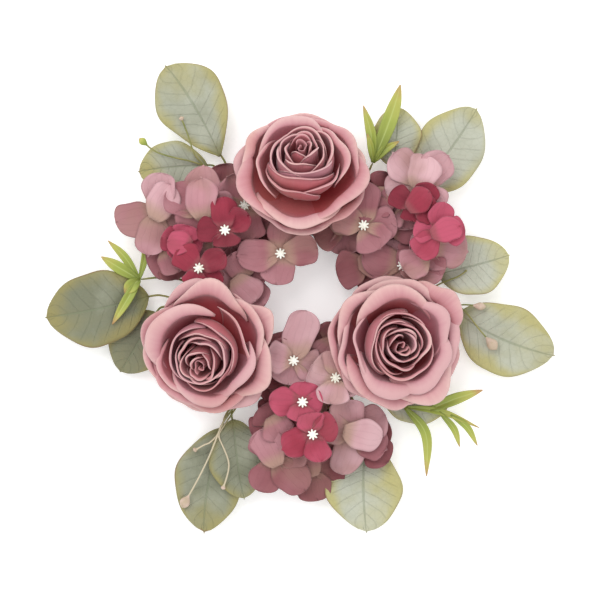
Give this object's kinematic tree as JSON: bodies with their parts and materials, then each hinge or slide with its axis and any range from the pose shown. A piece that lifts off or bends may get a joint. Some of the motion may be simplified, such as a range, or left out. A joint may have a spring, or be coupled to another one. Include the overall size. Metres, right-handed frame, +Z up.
{
  "type": "flower crown",
  "caption": "Small floral ring: roses, hydrangea clusters and bendable leaf sprays plugged into a moulded plastic ring.",
  "frame": {"origin": "on the table under the middle of the whole crown, on the axis of its ring", "axes": "+Z up out of the flowers, +Y to the back of the crown, which is the rose that sits alone, +X to its right"},
  "size_m": [0.3072, 0.282, 0.0555],
  "materials": {
    "ring": "dark green moulded plastic",
    "stem": "green moulded plastic over wire",
    "rose": "matte dusty rose fabric, paler at the rolled rims and deeper in the folds",
    "dusty": "matte dusty pink fabric that fades to beige at the centre",
    "ruby": "matte crimson fabric with darker edges",
    "leaf": "matte sage green fabric with yellow-olive margins and a thin red-brown edge",
    "lime": "satin lime green plastic",
    "stamen": "off-white plastic"
  },
  "bodies": {
    "crown": {"base_ring": "ring", "rose_back_calyx": "stem", "rose_back_outer_petals": "rose", "rose_back_middle_petals": "rose", "rose_back_inner_petals": "rose", "rose_back_bud": "rose", "rose_left_calyx": "stem", "rose_left_outer_petals": "rose", "rose_left_middle_petals": "rose", "rose_left_inner_petals": "rose", "rose_left_bud": "rose", "rose_right_calyx": "stem", "rose_right_outer_petals": "rose", "rose_right_middle_petals": "rose", "rose_right_inner_petals": "rose", "rose_right_bud": "rose", "hydrangea_left_branch": "stem", "hydrangea_left_floret_1": "dusty", "hydrangea_left_floret_2": "dusty", "hydrangea_left_floret_3": "dusty", "hydrangea_left_floret_4": "dusty", "hydrangea_left_floret_5": "dusty", "hydrangea_left_floret_6": "ruby", "hydrangea_left_floret_7": "ruby", "hydrangea_left_floret_8": "ruby", "hydrangea_right_branch": "stem", "hydrangea_right_floret_1": "dusty", "hydrangea_right_floret_2": "dusty", "hydrangea_right_floret_3": "dusty", "hydrangea_right_floret_4": "dusty", "hydrangea_right_floret_5": "ruby", "hydrangea_right_floret_6": "ruby", "hydrangea_front_branch": "stem", "hydrangea_front_floret_1": "dusty", "hydrangea_front_floret_2": "dusty", "hydrangea_front_floret_3": "dusty", "hydrangea_front_floret_4": "dusty", "hydrangea_front_floret_5": "ruby", "hydrangea_front_floret_6": "ruby"},
    "spray_back_left": {"spray_back_left_stem": "stem", "spray_back_left_leaf_1": "leaf", "spray_back_left_leaf_2": "leaf"},
    "spray_left": {"spray_left_stem": "stem", "spray_left_leaf_1": "leaf", "spray_left_leaf_2": "leaf", "spray_left_sprig": "lime"},
    "spray_front_left": {"spray_front_left_stem": "stem", "spray_front_left_leaf_1": "leaf", "spray_front_left_leaf_2": "leaf"},
    "spray_front": {"spray_front_stem": "stem", "spray_front_leaf_1": "leaf", "spray_front_leaf_2": "leaf", "spray_front_sprig": "lime"},
    "spray_right": {"spray_right_stem": "stem", "spray_right_leaf_1": "leaf", "spray_right_leaf_2": "leaf"},
    "spray_back_right": {"spray_back_right_stem": "stem", "spray_back_right_leaf_1": "leaf", "spray_back_right_leaf_2": "leaf", "spray_back_right_sprig": "lime"}
  },
  "joints": [
    {"name": "spray_back_left_bend", "type": "hinge", "parent": "crown", "child": "spray_back_left", "pos_m": [-0.0304, 0.04342, 0.0035], "axis": [0.8192, 0.5736, 0], "range_deg": [-20, 4]},
    {"name": "spray_left_bend", "type": "hinge", "parent": "crown", "child": "spray_left", "pos_m": [-0.0528, -0.00462, 0.0035], "axis": [-0.0872, 0.9962, 0], "range_deg": [-20, 4]},
    {"name": "spray_front_left_bend", "type": "hinge", "parent": "crown", "child": "spray_front_left", "pos_m": [-0.0265, -0.0459, 0.0035], "axis": [-0.866, 0.5, 0], "range_deg": [-20, 4]},
    {"name": "spray_front_bend", "type": "hinge", "parent": "crown", "child": "spray_front", "pos_m": [0.02488, -0.0468, 0.0035], "axis": [-0.8829, -0.4695, 0], "range_deg": [-20, 4]},
    {"name": "spray_right_bend", "type": "hinge", "parent": "crown", "child": "spray_right", "pos_m": [0.0528, -0.00462, 0.0035], "axis": [-0.0872, -0.9962, 0], "range_deg": [-20, 4]},
    {"name": "spray_back_right_bend", "type": "hinge", "parent": "crown", "child": "spray_back_right", "pos_m": [0.0265, 0.0459, 0.0035], "axis": [0.866, -0.5, 0], "range_deg": [-20, 4]}
  ]
}
